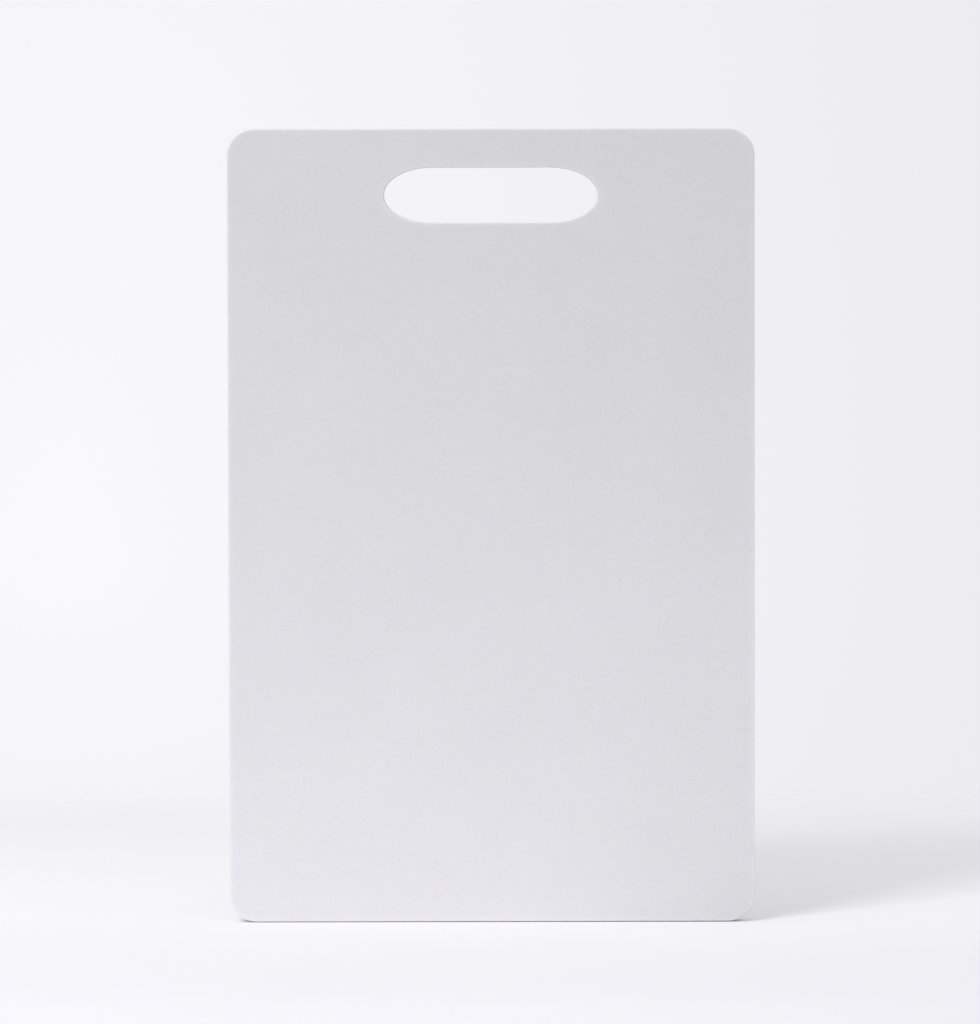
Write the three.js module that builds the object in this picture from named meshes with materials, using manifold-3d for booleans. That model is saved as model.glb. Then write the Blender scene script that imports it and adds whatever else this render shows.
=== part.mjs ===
// A plastic cutting board with a hand slot, standing upright on its lower edge.
//
// The board is a sealed sandwich. Two cutting sheets of solid polyethylene are bonded to the
// front and back of a light foamed core. A U-shaped edge frame closes the core in on both sides
// and below, and a solid handle rail closes it in above and carries the hand slot, so that no
// water reaches the foam. The legs of the frame end in tongues that plug into the rail. After
// bonding, the outer edge and the rim of the slot are rounded over on both faces.
//
// Millimetres, +Z up. X runs across the board and the front cutting face looks along -Y. The
// origin is the middle of the lower edge.

import * as THREE from "three";
import { mergeVertices } from "three/addons/utils/BufferGeometryUtils.js";
import Module from "manifold-3d";

// Whole board
const boardWidth = 252;
const boardHeight = 380;
const boardThickness = 13;
const cornerRadius = 13;
const edgeRadius = 0.5;

// Hand slot: a straight middle with a half-oval end on each side
const slotLength = 102.4;
const slotHeight = 26.2;
const slotEndLength = 23;
const slotDrop = 18.7; // from the top edge of the board to the top of the slot

// Layers and the frame round the core
const sheetThickness = 2.5;
const frameWidth = 10;
const frameInnerRadius = 4;
const railBelowSlot = 12; // solid rail left between the slot and the core

// Joint between the frame's legs and the rail
const tongueWidth = 5;
const tongueThickness = 3;
const tongueLength = 10;
const fitClearance = 0.3;

// Smoothness of the facets
const arcSteps = 6; // half the number of straight steps in a quarter arc
const roundingSteps = 3;

const halfWidth = boardWidth / 2;
const coreDepth = boardThickness - 2 * sheetThickness;
const slotTop = boardHeight - slotDrop;
const slotMiddle = slotTop - slotHeight / 2;
const railBottom = slotTop - slotHeight - railBelowSlot;
const quarterTurn = Math.PI / 2;

const wasm = await Module();
wasm.setup();

// A closed three.js geometry as a solid that can be joined and cut.
function toSolid(geometry) {
  const bare = geometry.clone();
  bare.deleteAttribute("normal");
  bare.deleteAttribute("uv");
  const merged = mergeVertices(bare);
  const mesh = new wasm.Mesh({
    numProp: 3,
    vertProperties: merged.attributes.position.array,
    triVerts: new Uint32Array(merged.index.array),
  });
  return new wasm.Manifold(mesh);
}

// A solid as a flat-shaded three.js geometry.
function toGeometry(solid) {
  const mesh = solid.getMesh();
  const indexed = new THREE.BufferGeometry();
  indexed.setAttribute("position", new THREE.BufferAttribute(mesh.vertProperties, 3));
  indexed.setIndex(new THREE.BufferAttribute(mesh.triVerts, 1));
  const geometry = indexed.toNonIndexed();
  geometry.computeVertexNormals();
  return geometry;
}

// A box between two opposite corners.
function boxBetween(low, high) {
  const box = new THREE.Box3(new THREE.Vector3(...low), new THREE.Vector3(...high));
  const size = box.getSize(new THREE.Vector3());
  const middle = box.getCenter(new THREE.Vector3());
  return new THREE.BoxGeometry(...size).translate(...middle);
}

// A plate of the given outline, centred on the middle plane of the board.
function plate(outline, depth) {
  const options = { depth, bevelEnabled: false, curveSegments: arcSteps };
  return new THREE.ExtrudeGeometry(outline, options).translate(0, 0, -depth / 2);
}

// Outlines are drawn on the standing board: x across it and y up its height.

// A rectangle whose lower and upper corners have their own radii.
function roundedRectangle(left, bottom, right, top, lowerRadius, upperRadius) {
  const outline = new THREE.Shape();
  outline.moveTo(left + lowerRadius, bottom);
  outline.lineTo(right - lowerRadius, bottom);
  outline.absarc(right - lowerRadius, bottom + lowerRadius, lowerRadius, -quarterTurn, 0);
  outline.lineTo(right, top - upperRadius);
  outline.absarc(right - upperRadius, top - upperRadius, upperRadius, 0, quarterTurn);
  outline.lineTo(left + upperRadius, top);
  outline.absarc(left + upperRadius, top - upperRadius, upperRadius, quarterTurn, 2 * quarterTurn);
  outline.lineTo(left, bottom + lowerRadius);
  outline.absarc(left + lowerRadius, bottom + lowerRadius, lowerRadius, 2 * quarterTurn, 3 * quarterTurn);
  return outline;
}

// The hand slot, drawn in quarter ovals so that its ends are as smooth as the corners.
function slotOutline() {
  const straight = slotLength / 2 - slotEndLength;
  const slot = new THREE.Path();
  slot.moveTo(straight, slotMiddle - slotHeight / 2);
  for (let quarter = 0; quarter < 4; quarter++) {
    const side = quarter < 2 ? 1 : -1;
    const start = (quarter - 1) * quarterTurn;
    const end = start + quarterTurn;
    slot.absellipse(side * straight, slotMiddle, slotEndLength, slotHeight / 2, start, end);
  }
  slot.closePath();
  return slot;
}

// The U of the edge frame: round the outside, then back along the pocket that holds the core.
function frameOutline() {
  const pocketHalf = halfWidth - frameWidth;
  const pocketTurn = pocketHalf - frameInnerRadius;
  const pocketFloor = frameWidth + frameInnerRadius;
  const outline = new THREE.Shape();
  outline.moveTo(-halfWidth, railBottom);
  outline.lineTo(-halfWidth, cornerRadius);
  outline.absarc(-halfWidth + cornerRadius, cornerRadius, cornerRadius, 2 * quarterTurn, 3 * quarterTurn);
  outline.lineTo(halfWidth - cornerRadius, 0);
  outline.absarc(halfWidth - cornerRadius, cornerRadius, cornerRadius, -quarterTurn, 0);
  outline.lineTo(halfWidth, railBottom);
  outline.lineTo(pocketHalf, railBottom);
  outline.lineTo(pocketHalf, pocketFloor);
  outline.absarc(pocketTurn, pocketFloor, frameInnerRadius, 0, -quarterTurn, true);
  outline.lineTo(-pocketTurn, frameWidth);
  outline.absarc(-pocketTurn, pocketFloor, frameInnerRadius, -quarterTurn, -2 * quarterTurn, true);
  outline.lineTo(-pocketHalf, railBottom);
  outline.closePath();
  return outline;
}

// The tongue on top of one leg of the frame, or with a clearance the socket that takes it. It
// reaches as far down into the leg as up into the rail.
function tongue(side, clearance) {
  const middle = side * (halfWidth - frameWidth / 2);
  const halfAcross = tongueWidth / 2 + clearance;
  const halfDeep = tongueThickness / 2 + clearance;
  const reach = tongueLength + clearance;
  return boxBetween(
    [middle - halfAcross, railBottom - reach, -halfDeep],
    [middle + halfAcross, railBottom + reach, halfDeep],
  );
}

// The whole board with its edges rounded over, from which the cutting sheets are parted off.
function roundedBoard() {
  const outline = roundedRectangle(-halfWidth, 0, halfWidth, boardHeight, cornerRadius, cornerRadius);
  outline.holes.push(slotOutline());
  const straightWall = boardThickness - 2 * edgeRadius;
  const geometry = new THREE.ExtrudeGeometry(outline, {
    depth: straightWall,
    bevelThickness: edgeRadius,
    bevelSize: edgeRadius,
    bevelOffset: -edgeRadius,
    bevelSegments: roundingSteps,
    curveSegments: arcSteps,
  });
  return geometry.translate(0, 0, -straightWall / 2);
}

// One outer layer of the board: the front sheet for side 1 and the back sheet for side -1.
function cuttingSheet(side) {
  const inner = (side * coreDepth) / 2;
  const outer = side * boardThickness;
  const layer = boxBetween(
    [-boardWidth, -boardHeight, Math.min(inner, outer)],
    [boardWidth, 2 * boardHeight, Math.max(inner, outer)],
  );
  return toGeometry(toSolid(roundedBoard()).intersect(toSolid(layer)));
}

function edgeFrame() {
  let frame = toSolid(plate(frameOutline(), coreDepth));
  for (const side of [-1, 1]) {
    frame = frame.add(toSolid(tongue(side, 0)));
  }
  return toGeometry(frame);
}

function handleRail() {
  const outline = roundedRectangle(-halfWidth, railBottom, halfWidth, boardHeight, 0, cornerRadius);
  outline.holes.push(slotOutline());
  let rail = toSolid(plate(outline, coreDepth));
  for (const side of [-1, 1]) {
    rail = rail.subtract(toSolid(tongue(side, fitClearance)));
  }
  return toGeometry(rail);
}

function corePanel() {
  const half = halfWidth - frameWidth - fitClearance;
  const bottom = frameWidth + fitClearance;
  const top = railBottom - fitClearance;
  const radius = frameInnerRadius - fitClearance;
  return plate(roundedRectangle(-half, bottom, half, top, radius, radius), coreDepth);
}

const sheetPlastic = new THREE.MeshStandardMaterial({ color: 0xe0e0e5, roughness: 0.55, metalness: 0 });
const framePlastic = new THREE.MeshStandardMaterial({ color: 0xdedee3, roughness: 0.45, metalness: 0 });
const coreFoam = new THREE.MeshStandardMaterial({ color: 0xe8e8e6, roughness: 0.9, metalness: 0 });

const pieces = [
  ["front_cutting_sheet", cuttingSheet(1), sheetPlastic],
  ["back_cutting_sheet", cuttingSheet(-1), sheetPlastic],
  ["edge_frame", edgeFrame(), framePlastic],
  ["handle_rail", handleRail(), framePlastic],
  ["core_panel", corePanel(), coreFoam],
];

// The pieces are drawn lying on their back and stood up together: their y becomes the height.
const standing = new THREE.Group();
standing.rotation.x = quarterTurn;
for (const [name, geometry, material] of pieces) {
  const mesh = new THREE.Mesh(geometry, material);
  mesh.name = name;
  standing.add(mesh);
}

const cuttingBoard = new THREE.Group();
cuttingBoard.add(standing);

export default cuttingBoard;
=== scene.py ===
"""A plastic cutting board with a hand slot, dressed around its solids on a pale paper table.

The board stands on its lower edge. X runs across it, -Y is the front cutting face and Z is up.
Outlines are drawn lying down, with x across the board and y up its height, and stood up last.
"""

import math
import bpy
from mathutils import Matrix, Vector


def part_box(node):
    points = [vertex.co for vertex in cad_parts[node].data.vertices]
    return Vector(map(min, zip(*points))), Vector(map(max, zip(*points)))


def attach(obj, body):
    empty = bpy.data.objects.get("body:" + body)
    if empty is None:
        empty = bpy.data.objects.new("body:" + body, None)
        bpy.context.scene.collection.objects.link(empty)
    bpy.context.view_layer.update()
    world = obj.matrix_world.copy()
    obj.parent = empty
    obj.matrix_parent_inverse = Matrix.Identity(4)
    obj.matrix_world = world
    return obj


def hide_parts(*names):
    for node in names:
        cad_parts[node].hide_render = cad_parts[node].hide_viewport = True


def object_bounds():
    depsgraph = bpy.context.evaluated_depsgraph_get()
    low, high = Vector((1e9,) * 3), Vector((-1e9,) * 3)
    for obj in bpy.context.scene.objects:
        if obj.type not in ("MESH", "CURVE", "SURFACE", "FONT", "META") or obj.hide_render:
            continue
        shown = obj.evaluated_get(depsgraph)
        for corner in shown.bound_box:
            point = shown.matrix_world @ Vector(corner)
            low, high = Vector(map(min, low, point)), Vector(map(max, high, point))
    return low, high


bl_info = {
    "name": "Plastic Cutting Board",
    "version": (1, 0, 0),
    "blender": (4, 5, 0),
    "location": "View3D > Sidebar > Cutting Board",
    "description": "Builds a plastic cutting board with a hand slot and its studio stage",
    "category": "Add Mesh",
}

import bmesh
import bpy
from bpy.props import FloatProperty, FloatVectorProperty, IntProperty, PointerProperty
from mathutils import Quaternion, Vector

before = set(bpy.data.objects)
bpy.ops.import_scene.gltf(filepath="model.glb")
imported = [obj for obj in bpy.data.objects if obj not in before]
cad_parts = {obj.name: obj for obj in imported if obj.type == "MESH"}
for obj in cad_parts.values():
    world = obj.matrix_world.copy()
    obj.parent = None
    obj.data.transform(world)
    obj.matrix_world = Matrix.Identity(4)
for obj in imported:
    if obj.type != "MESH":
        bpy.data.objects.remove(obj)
CAD_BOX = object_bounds()
BOARD_SIZE = CAD_BOX[1] - CAD_BOX[0]
SHEET_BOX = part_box("front_cutting_sheet")
RAIL_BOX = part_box("handle_rail")

# Shapes
QUARTER_TURN = math.pi / 2
SHARP_TURN = math.radians(30)  # an edge that turns more isn't shaded smooth
WELD_DISTANCE = 1e-6
TABLE_STEPS = 96

# Polyethylene
PLASTIC_IOR = 1.54
PLASTIC_ROUGHNESS = 0.5
ROUGHNESS_SPREAD = 0.1  # from spot to spot, and from a face to a trimmed edge
GLOW_SPREAD = (1.0, 0.95, 0.9)  # red light spreads a little further than blue
CLOUD_SIZE = 0.06
CLOUD_SHARE = 0.3  # of the mottle, and the grain gives the rest
TOOL_MARK_STRETCH = (0.02, 1, 0.02)  # drawn out along the edges, not across them
TOOL_MARK_DEPTH = 0.5  # against the depth of the grain

# Foam and paper. Tones are the darkest and lightest brightness of a colour.
CELLS_PER_METRE = 900
CELL_DEPTH = 0.0002
FOAM_TONES = (0.9, 1.05)
FOAM_ROUGHNESS = 0.9
PAPER_CLOUD_SIZE = 0.4
PAPER_TONES = (0.99, 1.01)
PAPER_ROUGHNESS = 0.9
PAPER_SPECULAR = 0.1
BLACK = (0, 0, 0, 1)

# Lamp and camera
KEY_TARGET = (0, 0, 0.15)
CAMERA_REACH = 20


def length(name, description, default):
    """A size in metres that a user can change."""
    return FloatProperty(
        name=name, description=description, default=default,
        subtype="DISTANCE", unit="LENGTH", precision=5,
    )


def colour(name, description, default):
    """A colour that a user can change."""
    return FloatVectorProperty(
        name=name, description=description, default=default, subtype="COLOR", size=3, min=0, max=1
    )


class BoardSizes(bpy.types.PropertyGroup):
    """Sizes of the board and its pieces."""

    width: length("Width", "Board from side to side", BOARD_SIZE.x)
    height: length("Height", "Board from the lower to the upper edge", BOARD_SIZE.z)
    thickness: length("Thickness", "Board from front to back", BOARD_SIZE.y)
    corner_radius: length("Corner Radius", "Rounding of the outline's corners", 0.013)
    edge_radius: length("Edge Radius", "Rounding of the edges round each cutting face", 0.0005)
    slot_length: length("Slot Length", "Hand slot from end to end", 0.1024)
    slot_height: length("Slot Height", "Hand slot from its lower to its upper side", 0.0262)
    slot_end: length("Slot End", "Length of each half-oval end of the slot", 0.023)
    slot_drop: length("Slot Drop", "From the top of the board to the top of the slot", 0.0187)
    sheet: length("Sheet", "Thickness of one cutting sheet", SHEET_BOX[1].y - SHEET_BOX[0].y)
    rail_bottom: length("Rail Bottom", "Height at which the rail meets the frame", RAIL_BOX[0].z)
    frame_width: length("Frame Width", "Width of the strip round the core", 0.010)
    frame_inner_radius: length("Frame Inner Radius", "Rounding of the pocket round the core", 0.004)
    seam_radius: length("Seam Radius", "Rounding left along each bonded seam", 0.00015)
    margin: length("Margin", "Flat strip kept beside each rounded edge", 0.0006)
    corner_steps: IntProperty(
        name="Corner Steps", description="Facets in a quarter arc", default=24, min=4
    )
    edge_steps: IntProperty(
        name="Edge Steps", description="Facets across a rounded edge", default=10, min=2
    )


class BoardFinish(bpy.types.PropertyGroup):
    """Colours and surface of the plastics."""

    sheet_colour: colour("Sheet", "Cutting sheets", (0.757, 0.752, 0.7705))
    frame_colour: colour("Frame", "Edge frame and handle rail", (0.711, 0.706, 0.7295))
    foam_colour: colour("Foam", "Core panel", (0.8, 0.8, 0.79))
    glow_depth: length("Glow Depth", "How far light spreads inside the plastic", 0.001)
    # Painted glow: a paler band painted along every edge of a face, in place of light coming
    # through the translucent plastic there.
    painted_glow_width: length("Painted Glow Width", "Width of the paler band along every edge of a face", 0.0035)
    # How much brighter the painted glow makes the colour right at an edge.
    painted_glow_gain: FloatProperty(
        name="Painted Glow Gain", description="Brightness of the plastic right at an edge",
        default=1.03, min=1, max=1.2,
    )
    mottle: FloatProperty(
        name="Mottle", description="Share by which the brightness varies from spot to spot",
        default=0.08, min=0, max=0.2,
    )
    grain_size: length("Grain Size", "Distance between the bumps of the matte grain", 0.0009)
    grain_depth: length("Grain Depth", "Height of the bumps of the matte grain", 0.0001)


class StageSettings(bpy.types.PropertyGroup):
    """Table, room, lamp and camera."""

    # Painted light and shade: the paper's colour runs from darker in front of the board to lighter
    # behind it, evening out how the key lamp's light falls on it.
    table_front: colour("Table Front", "Pale paper in front of the board", (0.867, 0.862, 0.889))
    table_back: colour("Table Back", "The same paper far behind the board", (0.995, 0.99, 1.0))
    table_front_end: length("Table Front End", "Y at which the paper has its front colour", -0.35)
    table_back_end: length("Table Back End", "Y at which the paper has its back colour", 0.2)
    table_middle: FloatVectorProperty(
        name="Table Middle", description="Middle of the paper, just below the foot of the board",
        default=(0, 0.05, -0.0003), subtype="TRANSLATION", unit="LENGTH",
    )
    table_fade: length("Table Fade", "Where the paper starts to fade, from its middle", 0.45)
    table_reach: length("Table Reach", "Where the paper has faded, from its middle", 0.85)
    dim_spot: FloatVectorProperty(
        name="Dim Spot", description="Middle of a patch of paper that throws less light back",
        default=(0.15, -0.03, 0), subtype="TRANSLATION", unit="LENGTH",
    )
    dim_reach: length("Dim Reach", "Radius of that patch", 0.14)
    dim_share: FloatProperty(
        name="Dim Share", description="Share of light that its middle throws back",
        default=0.6, min=0, max=1,
    )
    room_colour: colour("Room", "Background away from the pool of light", (0.775, 0.77, 0.815))
    pool_colour: colour("Pool", "Brightest part of the background", (0.95, 0.947, 0.975))
    pool_direction: FloatVectorProperty(
        name="Pool Direction", description="Where the background is brightest",
        default=(-0.056, 0.997, -0.048), subtype="DIRECTION",
    )
    pool_reach: FloatProperty(
        name="Pool Reach", description="Width of the bright part of the background",
        default=0.2, min=0,
    )
    pool_above: FloatProperty(
        name="Pool Above", description="How fast the background darkens above its brightest part",
        default=0.5, min=0,
    )
    pool_below: FloatProperty(
        name="Pool Below", description="How fast the background darkens below its brightest part",
        default=1.5, min=0,
    )
    camera_distance: length("Camera Distance", "From the front face to the camera", 3.65)
    camera_height: length("Camera Height", "Camera above the foot of the board", 0.348)
    aim_height: length("Aim Height", "Point of the front face in the middle of the picture", 0.1966)
    aim_across: length("Aim Across", "The same point, to the right of the board's middle", -0.00065)
    focal_length: FloatProperty(
        name="Focal Length", description="Lens of the camera",
        default=268.3, subtype="DISTANCE_CAMERA", unit="CAMERA",
    )
    camera_roll: FloatProperty(
        name="Camera Roll", description="Clockwise turn of the camera about its line of sight",
        default=math.radians(0.1), subtype="ANGLE", unit="ROTATION",
    )
    key_power: FloatProperty(
        name="Key Power", description="Strength of the key lamp",
        default=20.3, subtype="POWER", unit="POWER",
    )
    key_size: length("Key Size", "Side of the square key lamp", 0.76)
    key_distance: length("Key Distance", "From the key lamp to the board", 2.2)
    key_azimuth: FloatProperty(
        name="Key Azimuth", description="Key lamp to the left of the camera",
        default=math.radians(28), subtype="ANGLE", unit="ROTATION",
    )
    key_elevation: FloatProperty(
        name="Key Elevation", description="Key lamp above the board",
        default=math.radians(34.4), subtype="ANGLE", unit="ROTATION",
    )
    light_colour: colour("Room Light", "Even light from above", (0.98, 0.976, 1.0))
    room_level: FloatProperty(
        name="Room Level", description="Strength of the even light from above",
        default=0.757, min=0,
    )


class Wire:
    """One output socket of a node tree. Arithmetic on wires adds Math nodes to the tree."""

    def __init__(self, tree, socket=None):
        self.tree = tree
        self.socket = socket

    def node(self, kind, settings=None, inputs=None, output=0):
        """Adds a node with its settings and its sockets' values or links. Gives one output."""
        made = self.tree.nodes.new(kind)
        for name, value in (settings or {}).items():
            setattr(made, name, value)
        for name, value in (inputs or {}).items():
            for item in value if isinstance(value, list) else [value]:
                if isinstance(item, Wire):
                    self.tree.links.new(item.socket, made.inputs[name])
                else:
                    made.inputs[name].default_value = item
        return Wire(self.tree, made.outputs[output] if made.outputs else None)

    def beside(self, output):
        """Another output of the same node."""
        return Wire(self.tree, self.socket.node.outputs[output])

    def maths(self, operation, *values, clamp=False):
        """A Math node on these values."""
        settings = {"operation": operation, "use_clamp": clamp}
        return self.node("ShaderNodeMath", settings, dict(enumerate(values)))

    def __add__(self, other):
        return self.maths("ADD", self, other)

    def __radd__(self, other):
        return self.maths("ADD", other, self)

    def __sub__(self, other):
        return self.maths("SUBTRACT", self, other)

    def __rsub__(self, other):
        return self.maths("SUBTRACT", other, self)

    def __mul__(self, other):
        return self.maths("MULTIPLY", self, other)

    def __rmul__(self, other):
        return self.maths("MULTIPLY", other, self)

    def __truediv__(self, other):
        return self.maths("DIVIDE", self, other)

    def __rtruediv__(self, other):
        return self.maths("DIVIDE", other, self)

    def __abs__(self):
        return self.maths("ABSOLUTE", self)


def oval_arc(middle, radii, start, end, steps):
    """Points on part of an oval, both ends included."""
    turns = [start + (end - start) * step / steps for step in range(steps + 1)]
    return [
        (middle[0] + radii[0] * math.cos(turn), middle[1] + radii[1] * math.sin(turn))
        for turn in turns
    ]


def corner(middle, radius, quarter, steps):
    """A rounded corner, where quarter 0 is at the upper right and the rest follow anticlockwise."""
    start = quarter * QUARTER_TURN
    return oval_arc(middle, (radius, radius), start, start + QUARTER_TURN, steps)


def rounded_rectangle(low, high, lower_radius, upper_radius, steps):
    """An anticlockwise outline. Its lower and upper corners have their own radii, 0 for sharp."""
    points = []
    for quarter in range(4):
        radius = upper_radius if quarter < 2 else lower_radius
        x = high[0] - radius if quarter in (0, 3) else low[0] + radius
        y = high[1] - radius if quarter < 2 else low[1] + radius
        points += corner((x, y), radius, quarter, steps) if radius else [(x, y)]
    return points


def board_outline(sizes):
    """The outer edge of the whole board."""
    half = sizes.width / 2
    radius = sizes.corner_radius
    return rounded_rectangle((-half, 0), (half, sizes.height), radius, radius, sizes.corner_steps)


def slot_outline(sizes):
    """The hand slot, clockwise, so that the plastic is on its left as it is on the outline's."""
    middle = sizes.height - sizes.slot_drop - sizes.slot_height / 2
    straight = sizes.slot_length / 2 - sizes.slot_end
    radii = (sizes.slot_end, sizes.slot_height / 2)
    steps = 2 * sizes.corner_steps
    right = oval_arc((straight, middle), radii, QUARTER_TURN, -QUARTER_TURN, steps)
    left = oval_arc((-straight, middle), radii, -QUARTER_TURN, -3 * QUARTER_TURN, steps)
    return right + left


def frame_outline(sizes):
    """The U of the edge frame, round the outside and back along the pocket that holds the core."""
    half, top = sizes.width / 2, sizes.rail_bottom
    radius, steps = sizes.corner_radius, sizes.corner_steps
    outside = rounded_rectangle((-half, 0), (half, top), radius, 0, steps)
    pocket_half, pocket_radius = half - sizes.frame_width, sizes.frame_inner_radius
    low, high = (-pocket_half, sizes.frame_width), (pocket_half, top)
    pocket = rounded_rectangle(low, high, pocket_radius, 0, steps)
    upper_left_first = outside[1:] + outside[:1]
    upper_right_first = [pocket[0]] + pocket[:0:-1]
    return upper_left_first + upper_right_first


def rail_outline(sizes):
    """The handle rail above the frame."""
    half = sizes.width / 2
    low, high = (-half, sizes.rail_bottom), (half, sizes.height)
    return rounded_rectangle(low, high, 0, sizes.corner_radius, sizes.corner_steps)


def new_tree_input(tree, name, kind, description):
    """Adds a named input to a node group."""
    socket = tree.interface.new_socket(name, in_out="INPUT", socket_type=kind)
    socket.description = description


def plate_tree():
    """A plate: an edge profile swept along closed outlines, with a flat face on each side."""
    tree = bpy.data.node_groups.new("Rounded Plate", "GeometryNodeTree")
    tree.is_modifier = True
    new_tree_input(tree, "Outline", "NodeSocketGeometry", "Outlines, plastic on their left")
    new_tree_input(tree, "Depth", "NodeSocketFloat", "Thickness of the plate")
    new_tree_input(tree, "Layer", "NodeSocketFloat", "Plate in front of the board's middle plane")
    new_tree_input(tree, "Front Radius", "NodeSocketFloat", "Rounding of the front edges")
    new_tree_input(tree, "Back Radius", "NodeSocketFloat", "Rounding of the back edges")
    new_tree_input(tree, "Margin", "NodeSocketFloat", "Flat strip beside each rounded edge")
    new_tree_input(tree, "Steps", "NodeSocketInt", "Facets across a rounded edge")
    new_tree_input(tree, "Material", "NodeSocketMaterial", "Plastic of the plate")
    tree.interface.new_socket("Plate", in_out="OUTPUT", socket_type="NodeSocketGeometry")

    start = Wire(tree).node("NodeGroupInput")
    depth, layer, margin = (start.beside(name) for name in ("Depth", "Layer", "Margin"))
    front, back = start.beside("Front Radius"), start.beside("Back Radius")
    half = depth / 2

    # The profile is a bracket whose two corners are rounded. Its y runs from front to back.
    def point(x, y):
        return start.node("ShaderNodeCombineXYZ", None, {"X": x, "Y": y})

    bracket = start.node(
        "GeometryNodeCurvePrimitiveQuadrilateral",
        {"mode": "POINTS"},
        {
            "Point 1": point(0 - front - margin, 0 - half),
            "Point 2": point(0, 0 - half),
            "Point 3": point(0, half),
            "Point 4": point(0 - back - margin, half),
        },
    )
    bracket = start.node(
        "GeometryNodeSetSplineCyclic", None, {"Geometry": bracket, "Cyclic": False}
    )
    index = start.node("GeometryNodeInputIndex")
    radius = front + (index - 1) * (back - front)
    profile = start.node(
        "GeometryNodeFilletCurve",
        {"mode": "POLY"},
        {"Curve": bracket, "Count": start.beside("Steps"), "Radius": radius},
    )
    outline = start.node(
        "GeometryNodeSetCurveNormal", {"mode": "Z_UP"}, {"Curve": start.beside("Outline")}
    )
    edge = start.node("GeometryNodeCurveToMesh", None, {"Curve": outline, "Profile Curve": profile})

    # The open rims of the swept edge, with a face on one side only, bound the two flat faces. The
    # Compare node takes whole numbers at its sockets 2 and 3.
    neighbours = start.node("GeometryNodeInputMeshEdgeNeighbors")
    rim = start.node(
        "FunctionNodeCompare", {"data_type": "INT", "operation": "EQUAL"}, {2: neighbours, 3: 1}
    )
    place = start.node("GeometryNodeInputPosition")
    height = start.node("ShaderNodeSeparateXYZ", None, {0: place}, "Z")

    def face(side):
        comparison = "GREATER_THAN" if side > 0 else "LESS_THAN"
        chosen = start.node("FunctionNodeCompare", {"operation": comparison}, {0: height, 1: 0.0})
        selection = start.node("FunctionNodeBooleanMath", {"operation": "AND"}, {0: rim, 1: chosen})
        loops = start.node("GeometryNodeMeshToCurve", None, {"Mesh": edge, "Selection": selection})
        filled = start.node("GeometryNodeFillCurve", {"mode": "TRIANGLES"}, {"Curve": loops})
        lift = start.node("ShaderNodeCombineXYZ", None, {"Z": side * half})
        return start.node("GeometryNodeSetPosition", None, {"Geometry": filled, "Offset": lift})

    back_face = start.node("GeometryNodeFlipFaces", None, {"Mesh": face(-1)})
    joined = start.node("GeometryNodeJoinGeometry", None, {"Geometry": [edge, face(1), back_face]})
    welded = start.node(
        "GeometryNodeMergeByDistance", None, {"Geometry": joined, "Distance": WELD_DISTANCE}
    )
    stood = start.node(
        "GeometryNodeTransform",
        None,
        {
            "Geometry": welded,
            "Rotation": (QUARTER_TURN, 0, 0),
            "Translation": start.node("ShaderNodeCombineXYZ", None, {"Y": 0 - layer}),
        },
    )
    smooth = start.node("GeometryNodeSetShadeSmooth", None, {"Geometry": stood})
    turn = start.node("GeometryNodeInputMeshEdgeAngle", None, None, "Unsigned Angle")
    sharp = start.node(
        "FunctionNodeCompare", {"operation": "GREATER_THAN"}, {0: turn, 1: SHARP_TURN}
    )
    creased = start.node(
        "GeometryNodeSetShadeSmooth",
        {"domain": "EDGE"},
        {"Geometry": smooth, "Selection": sharp, "Shade Smooth": False},
    )
    single = start.node("GeometryNodeRealizeInstances", None, {"Geometry": creased})
    dressed = start.node(
        "GeometryNodeSetMaterial", None, {"Geometry": single, "Material": start.beside("Material")}
    )
    start.node("NodeGroupOutput", None, {"Plate": dressed})
    return tree


def draw_outlines(name, outlines):
    """A curve object with one closed outline for each list of points."""
    curve = bpy.data.curves.new(name, "CURVE")
    curve.dimensions = "3D"
    for points in outlines:
        spline = curve.splines.new("POLY")
        spline.points.add(len(points) - 1)
        for spot, (x, y) in zip(spline.points, points):
            spot.co = (x, y, 0, 1)
        spline.use_cyclic_u = True
    drawn = bpy.data.objects.new(name, curve)
    bpy.context.scene.collection.objects.link(drawn)
    return drawn


def make_plate(name, outlines, settings):
    """Builds one plate with the node tree and keeps the result as a plain mesh."""
    tree = bpy.data.node_groups.get("Rounded Plate") or plate_tree()
    drawing = draw_outlines(name + "_drawing", outlines)
    modifier = drawing.modifiers.new("Plate", "NODES")
    modifier.node_group = tree
    for item in tree.interface.items_tree:
        if item.in_out == "INPUT" and item.name in settings:
            modifier[item.identifier] = settings[item.name]
    graph = bpy.context.evaluated_depsgraph_get()
    mesh = bpy.data.meshes.new_from_object(drawing.evaluated_get(graph), depsgraph=graph)
    if not mesh.polygons:
        raise RuntimeError(f"the plate {name} came out empty")
    mesh.name = name
    mesh.materials.clear()
    mesh.materials.append(settings["Material"])
    bpy.data.objects.remove(drawing)
    piece = bpy.data.objects.new(name, mesh)
    bpy.context.scene.collection.objects.link(piece)
    return piece


def hand_over(piece, node):
    """The piece stands for a CAD node and moves with the board."""
    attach(piece, "root")
    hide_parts(node)


def start_material(name):
    """A new material with an empty node tree."""
    material = bpy.data.materials.new(name)
    material.use_nodes = True
    material.node_tree.nodes.clear()
    return material, Wire(material.node_tree)


def blended(start, factor, first, second):
    """A colour between two others. The Mix node has its colours at 6 and 7 and gives one at 2."""
    return start.node("ShaderNodeMix", {"data_type": "RGBA"}, {0: factor, 6: first, 7: second}, 2)


def tinted(start, shade, low, high, factor):
    """A colour that varies between two brightnesses."""
    darker = (*(low * part for part in shade), 1)
    lighter = (*(high * part for part in shade), 1)
    return blended(start, factor, darker, lighter)


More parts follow.
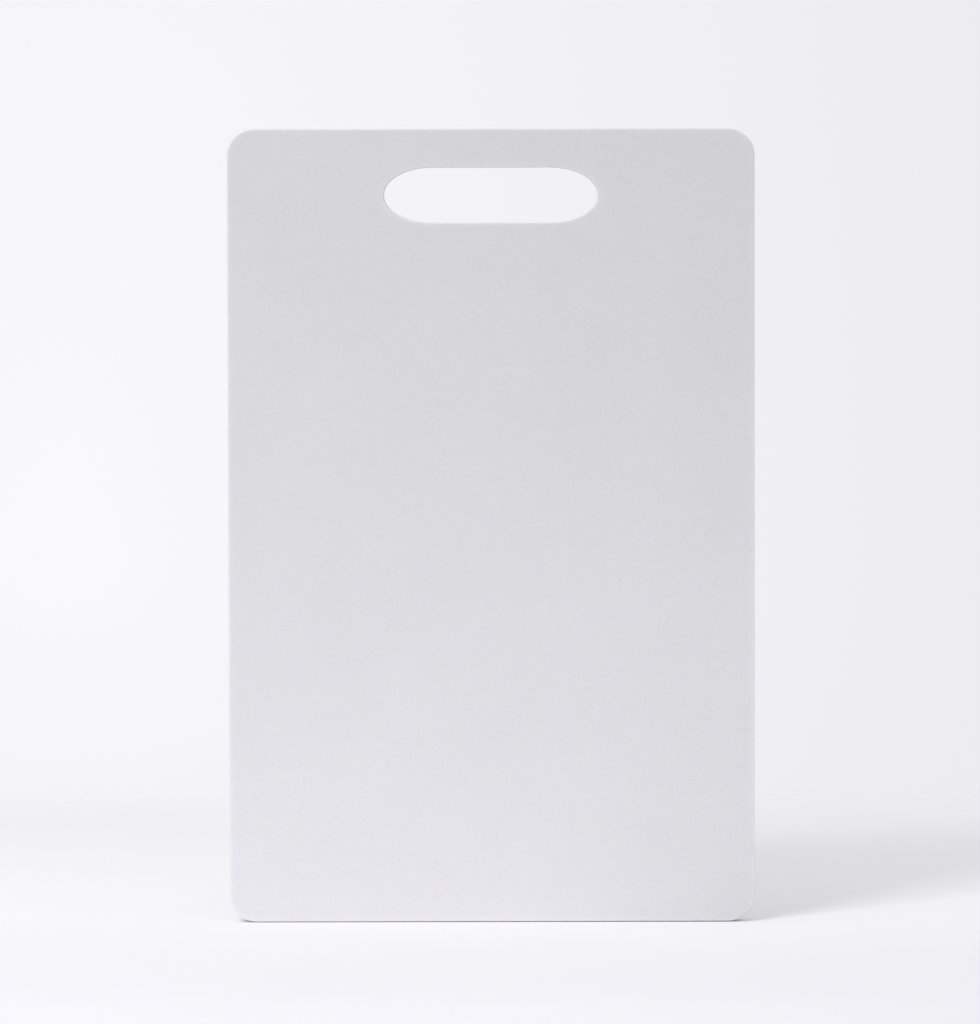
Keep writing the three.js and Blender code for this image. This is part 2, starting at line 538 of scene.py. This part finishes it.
def eased(start, value, low, high, at_low, at_high):
    """Goes softly from one number to another while the value goes from low to high."""
    return start.node(
        "ShaderNodeMapRange",
        {"interpolation_type": "SMOOTHSTEP"},
        {
            "Value": value,
            "From Min": low,
            "From Max": high,
            "To Min": at_low,
            "To Max": at_high,
        },
    )


def distance(start, place, point):
    """How far a place is from a fixed point."""
    return start.node(
        "ShaderNodeVectorMath", {"operation": "DISTANCE"}, {0: place, 1: point}, "Value"
    )


def noise(start, place, size):
    """Even noise whose features are about the given size in metres."""
    return start.node("ShaderNodeTexNoise", None, {"Vector": place, "Scale": 1 / size})


def edge_distance(start, across, up, sizes):
    """How far a point of a face lies from the nearest edge: the outline or the hand slot."""
    middle, radius = sizes.height / 2, sizes.corner_radius
    side = abs(across) - (sizes.width / 2 - radius)
    end = abs(up - middle) - (middle - radius)
    turn_side, turn_end = start.maths("MAXIMUM", side, 0.0), start.maths("MAXIMUM", end, 0.0)
    round_corner = start.maths("SQRT", turn_side * turn_side + turn_end * turn_end)
    within = start.maths("MINIMUM", start.maths("MAXIMUM", side, end), 0.0)
    from_outline = radius - round_corner - within

    # The slot's oval ends are squeezed into half circles, which is close enough near its rim.
    half = sizes.slot_height / 2
    straight = sizes.slot_length / 2 - sizes.slot_end
    past_straight = start.maths("MAXIMUM", abs(across) - straight, 0.0) * (half / sizes.slot_end)
    above_slot = up - (sizes.height - sizes.slot_drop - half)
    from_slot = start.maths("SQRT", past_straight * past_straight + above_slot * above_slot) - half
    return start.maths("MINIMUM", from_outline, from_slot)


def polyethylene(name, shade, sizes, finish):
    """Cool white polyethylene: matte grain on the faces, smoother at trimmed edges, with painted
    glow that makes the colour paler within a few millimetres of every edge, in place of light
    coming through the plastic.
    """
    material, start = start_material(name)
    place = start.node("ShaderNodeTexCoord", None, None, "Object")
    across = start.node("ShaderNodeSeparateXYZ", None, {0: place}, "X")
    below_face = sizes.thickness / 2 - abs(across.beside("Y"))
    trimmed = start.maths("DIVIDE", below_face, sizes.edge_radius, clamp=True)

    grain = noise(start, place, finish.grain_size)
    along_edge = start.node(
        "ShaderNodeMapping", None, {"Vector": place, "Scale": TOOL_MARK_STRETCH}
    )
    tool_marks = noise(start, along_edge, finish.grain_size)
    height = grain * (1 - trimmed) + tool_marks * trimmed * TOOL_MARK_DEPTH
    bump = start.node("ShaderNodeBump", None, {"Distance": finish.grain_depth, "Height": height})

    clouds = noise(start, place, CLOUD_SIZE)
    mottle = clouds * CLOUD_SHARE + grain * (1 - CLOUD_SHARE)
    # Painted glow: the colour is made paler near every edge of a face, standing in for light that
    # comes through the plastic there.
    from_edge = edge_distance(start, across, across.beside("Z"), sizes)
    rim = eased(start, from_edge, 0.0, finish.painted_glow_width, 1.0, 0.0)
    face_shade, painted_glow_shade = (
        tinted(start, shade, gain - finish.mottle, gain + finish.mottle, mottle)
        for gain in (1, finish.painted_glow_gain)
    )

    shader = start.node(
        "ShaderNodeBsdfPrincipled",
        None,
        {
            "Base Color": blended(start, rim, face_shade, painted_glow_shade),
            "Roughness": PLASTIC_ROUGHNESS + (mottle - trimmed) * ROUGHNESS_SPREAD,
            "Normal": bump,
            "IOR": PLASTIC_IOR,
            "Subsurface Weight": 1.0,
            "Subsurface Radius": GLOW_SPREAD,
            "Subsurface Scale": finish.glow_depth,
        },
    )
    start.node("ShaderNodeOutputMaterial", None, {"Surface": shader})
    return material


def closed_cell_foam(name, shade):
    """Foamed plastic with small closed cells."""
    material, start = start_material(name)
    place = start.node("ShaderNodeTexCoord", None, None, "Object")
    cells = start.node("ShaderNodeTexVoronoi", None, {"Vector": place, "Scale": CELLS_PER_METRE})
    bump = start.node("ShaderNodeBump", None, {"Distance": CELL_DEPTH, "Height": cells})
    shader = start.node(
        "ShaderNodeBsdfPrincipled",
        None,
        {
            "Base Color": tinted(start, shade, *FOAM_TONES, cells),
            "Roughness": FOAM_ROUGHNESS,
            "Normal": bump,
        },
    )
    start.node("ShaderNodeOutputMaterial", None, {"Surface": shader})
    return material


def seen_directly(start):
    """1 for what shows, in a reflection or through glass too, and 0 for light that bounces."""
    seen = start.node("ShaderNodeLightPath", None, None, "Is Camera Ray")
    in_gloss_or_glass = seen.beside("Is Glossy Ray") + seen.beside("Is Transmission Ray")
    return start.maths("MAXIMUM", seen, in_gloss_or_glass)


def table_paper(name, stage):
    """Pale matte paper, which fades into the room round it, painted darker in front of the board
    and lighter behind it in place of uneven light.
    """
    material, start = start_material(name)
    place = start.node("ShaderNodeTexCoord", None, None, "Object")
    from_middle = distance(start, place, stage.table_middle)
    cover = eased(start, from_middle, stage.table_fade, stage.table_reach, 1.0, 0.0)

    clouds = noise(start, place, PAPER_CLOUD_SIZE)
    front, back = (
        tinted(start, shade, *PAPER_TONES, clouds)
        for shade in (stage.table_front, stage.table_back)
    )
    # Painted light and shade: the paper is darker in front and lighter behind, making up for the
    # key lamp's light falling off across it.
    depth = start.node("ShaderNodeSeparateXYZ", None, {0: place}, "Y")
    behind = eased(start, depth, stage.table_front_end, stage.table_back_end, 0.0, 1.0)
    even = blended(start, behind, front, back)

    # A soft patch beside the board's right foot throws less light back, but looks like the rest.
    from_spot = distance(start, place, stage.dim_spot)
    thrown = eased(start, from_spot, 0.0, stage.dim_reach, stage.dim_share, 1.0)
    kept = start.maths("MAXIMUM", seen_directly(start), thrown)

    shader = start.node(
        "ShaderNodeBsdfPrincipled",
        None,
        {
            "Base Color": blended(start, kept, BLACK, even),
            "Roughness": PAPER_ROUGHNESS,
            "Specular IOR Level": PAPER_SPECULAR,
            "Alpha": cover,
        },
    )
    start.node("ShaderNodeOutputMaterial", None, {"Surface": shader})
    return material


def made_once(name, maker, *details):
    """A material that several pieces share."""
    return bpy.data.materials.get(name) or maker(name, *details)


class BOARD_OT_cutting_sheets(bpy.types.Operator):
    """Build the front and back cutting sheets, with rounded outer edges and slot rims"""

    bl_idname = "board.cutting_sheets"
    bl_label = "Cutting Sheets"

    def execute(self, context):
        sizes, finish = context.scene.board_sizes, context.scene.board_finish
        plastic = made_once(
            "cutting_sheet_plastic", polyethylene, finish.sheet_colour, sizes, finish
        )
        layer = (sizes.thickness - sizes.sheet) / 2
        for side, name in ((1, "front"), (-1, "back")):
            radii = (sizes.edge_radius, sizes.seam_radius)[::side]
            sheet = make_plate(
                f"{name}_sheet",
                [board_outline(sizes), slot_outline(sizes)],
                {
                    "Depth": sizes.sheet,
                    "Layer": side * layer,
                    "Front Radius": radii[0],
                    "Back Radius": radii[1],
                    "Margin": sizes.margin,
                    "Steps": sizes.edge_steps,
                    "Material": plastic,
                },
            )
            hand_over(sheet, f"{name}_cutting_sheet")
        return {"FINISHED"}


def make_core_layer(context, name, outlines, node):
    """A plate of the middle layer, with a fine rounding along its seams."""
    sizes, finish = context.scene.board_sizes, context.scene.board_finish
    plastic = made_once("frame_plastic", polyethylene, finish.frame_colour, sizes, finish)
    plate = make_plate(
        name,
        outlines,
        {
            "Depth": sizes.thickness - 2 * sizes.sheet,
            "Layer": 0.0,
            "Front Radius": sizes.seam_radius,
            "Back Radius": sizes.seam_radius,
            "Margin": sizes.margin,
            "Steps": sizes.edge_steps,
            "Material": plastic,
        },
    )
    hand_over(plate, node)


class BOARD_OT_edge_frame(bpy.types.Operator):
    """Build the U-shaped frame that closes the core in at the sides and below"""

    bl_idname = "board.edge_frame"
    bl_label = "Edge Frame"

    def execute(self, context):
        outlines = [frame_outline(context.scene.board_sizes)]
        make_core_layer(context, "frame_strip", outlines, "edge_frame")
        return {"FINISHED"}


class BOARD_OT_handle_rail(bpy.types.Operator):
    """Build the solid rail that holds the hand slot"""

    bl_idname = "board.handle_rail"
    bl_label = "Handle Rail"

    def execute(self, context):
        sizes = context.scene.board_sizes
        outlines = [rail_outline(sizes), slot_outline(sizes)]
        make_core_layer(context, "slot_rail", outlines, "handle_rail")
        return {"FINISHED"}


class BOARD_OT_core_panel(bpy.types.Operator):
    """Give the core panel inside the board its foam"""

    bl_idname = "board.core_panel"
    bl_label = "Core Panel"

    def execute(self, context):
        foam = made_once("core_foam", closed_cell_foam, context.scene.board_finish.foam_colour)
        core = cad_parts["core_panel"]
        core.data.materials.clear()
        core.data.materials.append(foam)
        return {"FINISHED"}


def make_table(stage):
    """A round sheet of paper that the board stands on."""
    mesh = bpy.data.meshes.new("paper_table")
    paper = bmesh.new()
    bmesh.ops.create_circle(paper, cap_ends=True, radius=stage.table_reach, segments=TABLE_STEPS)
    bmesh.ops.translate(paper, vec=stage.table_middle, verts=paper.verts)
    paper.to_mesh(mesh)
    paper.free()
    table = bpy.data.objects.new("paper_table", mesh)
    bpy.context.scene.collection.objects.link(table)
    mesh.materials.append(made_once("table_paper", table_paper, stage))


def make_lamp(name, place, target, size, power):
    """A square soft lamp that the camera doesn't see."""
    light = bpy.data.lights.new(name, "AREA")
    light.size = size
    light.energy = power
    lamp = bpy.data.objects.new(name, light)
    lamp.location = place
    lamp.rotation_euler = (Vector(target) - Vector(place)).to_track_quat("-Z", "Y").to_euler()
    lamp.visible_camera = False
    bpy.context.scene.collection.objects.link(lamp)


def make_room(stage):
    """A pale room, brightest low down on one side, whose light comes from above the table only."""
    world = bpy.data.worlds.new("pale_room")
    world.use_nodes = True
    world.node_tree.nodes.clear()
    start = Wire(world.node_tree)
    direction = start.node("ShaderNodeTexCoord", None, None, "Generated")
    offset = start.node(
        "ShaderNodeVectorMath", {"operation": "SUBTRACT"}, {0: direction, 1: stage.pool_direction}
    )
    rise = start.node("ShaderNodeSeparateXYZ", None, {0: offset}, "Z")
    climb = start.maths("MAXIMUM", rise * stage.pool_above, rise * -stage.pool_below)
    level = start.node("ShaderNodeVectorMath", {"operation": "MULTIPLY"}, {0: offset, 1: (1, 1, 0)})
    beside = start.node("ShaderNodeVectorMath", {"operation": "LENGTH"}, {0: level}, "Value")
    from_pool = start.maths("SQRT", beside * beside + climb * climb)
    away = start.maths("DIVIDE", from_pool, stage.pool_reach, clamp=True)
    height = start.node("ShaderNodeSeparateXYZ", None, {0: direction}, "Z")
    above = start.maths("GREATER_THAN", height, 0.0)

    def background(shade, strength):
        values = {"Color": (*shade, 1), "Strength": strength}
        return start.node("ShaderNodeBackground", None, values)

    def mixed(factor, low, high):
        return start.node("ShaderNodeMixShader", None, {0: factor, 1: low, 2: high})

    seen = mixed(away, background(stage.pool_colour, 1), background(stage.room_colour, 1))
    dark, lit = (background(stage.light_colour, strength) for strength in (0, stage.room_level))
    light = mixed(above, dark, lit)
    shader = mixed(seen_directly(start), light, seen)
    start.node("ShaderNodeOutputWorld", None, {"Surface": shader})
    bpy.context.scene.world = world


def make_camera(stage, face):
    """The camera in front of the board, level with its hand slot."""
    camera = bpy.data.objects.new("camera", bpy.data.cameras.new("camera"))
    camera.data.lens = stage.focal_length
    camera.data.clip_end = CAMERA_REACH
    camera.location = (stage.aim_across, face - stage.camera_distance, stage.camera_height)
    aim = Vector((stage.aim_across, face, stage.aim_height))
    turn = (aim - camera.location).to_track_quat("-Z", "Y")
    turn.rotate(Quaternion(aim - camera.location, stage.camera_roll))
    camera.rotation_euler = turn.to_euler()
    bpy.context.scene.collection.objects.link(camera)
    bpy.context.scene.camera = camera


class BOARD_OT_stage(bpy.types.Operator):
    """Set up the paper table, the lamp, the room and the camera"""

    bl_idname = "board.stage"
    bl_label = "Stage"

    def execute(self, context):
        stage, sizes = context.scene.board_stage, context.scene.board_sizes
        make_table(stage)
        flat = stage.key_distance * math.cos(stage.key_elevation)
        place = (
            -flat * math.sin(stage.key_azimuth),
            -flat * math.cos(stage.key_azimuth),
            KEY_TARGET[2] + stage.key_distance * math.sin(stage.key_elevation),
        )
        make_lamp("key_lamp", place, KEY_TARGET, stage.key_size, stage.key_power)
        make_room(stage)
        make_camera(stage, -sizes.thickness / 2)
        context.scene.view_settings.view_transform = "Standard"
        return {"FINISHED"}


class BOARD_PT_sidebar(bpy.types.Panel):
    """Sizes, finish and building steps of the cutting board"""

    bl_idname = "BOARD_PT_sidebar"
    bl_label = "Cutting Board"
    bl_space_type = "VIEW_3D"
    bl_region_type = "UI"
    bl_category = "Cutting Board"

    def draw(self, context):
        for group in (getattr(context.scene, name) for name in GROUPS):
            box = self.layout.box()
            for name in group.__annotations__:
                box.prop(group, name)
        for operator in OPERATORS:
            self.layout.operator(operator.bl_idname)


GROUPS = {"board_sizes": BoardSizes, "board_finish": BoardFinish, "board_stage": StageSettings}
OPERATORS = (
    BOARD_OT_cutting_sheets,
    BOARD_OT_edge_frame,
    BOARD_OT_handle_rail,
    BOARD_OT_core_panel,
    BOARD_OT_stage,
)


def register():
    for kind in (*GROUPS.values(), *OPERATORS, BOARD_PT_sidebar):
        bpy.utils.register_class(kind)
    for name, group in GROUPS.items():
        setattr(bpy.types.Scene, name, PointerProperty(type=group))


def unregister():
    for name in GROUPS:
        delattr(bpy.types.Scene, name)
    for kind in (BOARD_PT_sidebar, *OPERATORS, *GROUPS.values()):
        bpy.utils.unregister_class(kind)


def main():
    register()
    bpy.ops.board.cutting_sheets()
    bpy.ops.board.edge_frame()
    bpy.ops.board.handle_rail()
    bpy.ops.board.core_panel()
    bpy.ops.board.stage()


if __name__ == "__main__":
    main()
